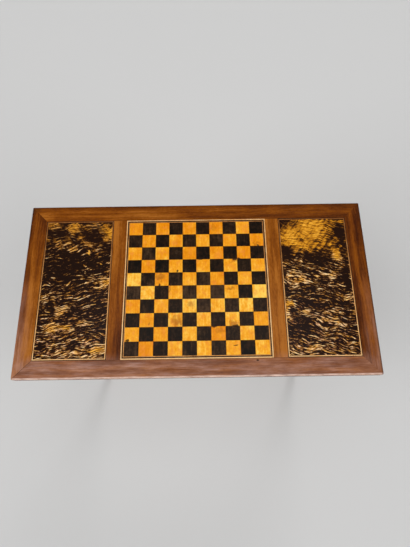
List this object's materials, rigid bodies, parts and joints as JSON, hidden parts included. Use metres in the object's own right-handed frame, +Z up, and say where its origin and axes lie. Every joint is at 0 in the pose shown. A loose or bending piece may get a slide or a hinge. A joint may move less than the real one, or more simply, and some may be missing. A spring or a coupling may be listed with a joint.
{
  "type": "games table",
  "caption": "Rectangular games table: framed draughts top between mottled side panels, lifting off a backgammon well, with opposed drawers on tapered legs.",
  "frame": {"origin": "floor level, under the centre of the table top", "axes": "+X along the table to the front player's right, +Y away from the front player, +Z up"},
  "size_m": [0.9, 0.464, 0.72],
  "materials": {
    "walnut": "waxed reddish brown, grain along each member",
    "ebony": "polished near-black with faint brown grain",
    "satinwood": "polished amber, grain from front to back",
    "boxwood": "pale yellow inlaid lines",
    "figured_veneer": "polished, black with amber and cream flecks",
    "field_veneer": "polished dark red-brown",
    "oak": "plain secondary wood",
    "brass": "turned, dulled by age",
    "steel": "plain screws"
  },
  "bodies": {
    "base": {"front_left_leg": "walnut", "front_right_leg": "walnut", "back_left_leg": "walnut", "back_right_leg": "walnut", "front_apron": "walnut", "back_apron": "walnut", "left_apron": "walnut", "right_apron": "walnut", "left_partition": "walnut", "right_partition": "walnut", "well_bar": "walnut", "dark_points": "ebony", "light_points": "boxwood", "well_field": "field_veneer", "tenon_pegs": "oak", "bottom_board": "oak", "well_floor": "oak", "drawer_runners": "oak", "drawer_guides": "oak", "drawer_stops": "oak"},
    "top": {"front_rail": "walnut", "back_rail": "walnut", "left_stile": "walnut", "right_stile": "walnut", "left_crossbar": "walnut", "right_crossbar": "walnut", "mitre_splines": "oak", "board_core": "oak", "left_panel_core": "oak", "right_panel_core": "oak", "dark_squares": "ebony", "light_squares": "satinwood", "board_inner_string": "boxwood", "board_dark_string": "ebony", "board_outer_string": "boxwood", "left_panel_veneer": "figured_veneer", "right_panel_veneer": "figured_veneer", "panel_dark_strings": "ebony", "panel_light_strings": "boxwood", "left_batten": "oak", "right_batten": "oak", "batten_screws": "steel"},
    "front_drawer": {"front_drawer_face": "walnut", "front_drawer_left_side": "oak", "front_drawer_right_side": "oak", "front_drawer_rear": "oak", "front_drawer_bottom": "oak", "front_drawer_knob": "brass", "front_drawer_nut": "brass"},
    "back_drawer": {"back_drawer_face": "walnut", "back_drawer_left_side": "oak", "back_drawer_right_side": "oak", "back_drawer_rear": "oak", "back_drawer_bottom": "oak", "back_drawer_knob": "brass", "back_drawer_nut": "brass"}
  },
  "joints": [
    {"name": "top_lift", "type": "slide", "parent": "base", "child": "top", "axis": [0, 0, 1], "range_m": [0, 0.25]},
    {"name": "front_drawer_slide", "type": "slide", "parent": "base", "child": "front_drawer", "axis": [0, -1, 0], "range_m": [0, 0.2]},
    {"name": "back_drawer_slide", "type": "slide", "parent": "base", "child": "back_drawer", "axis": [0, 1, 0], "range_m": [0, 0.2]}
  ]
}
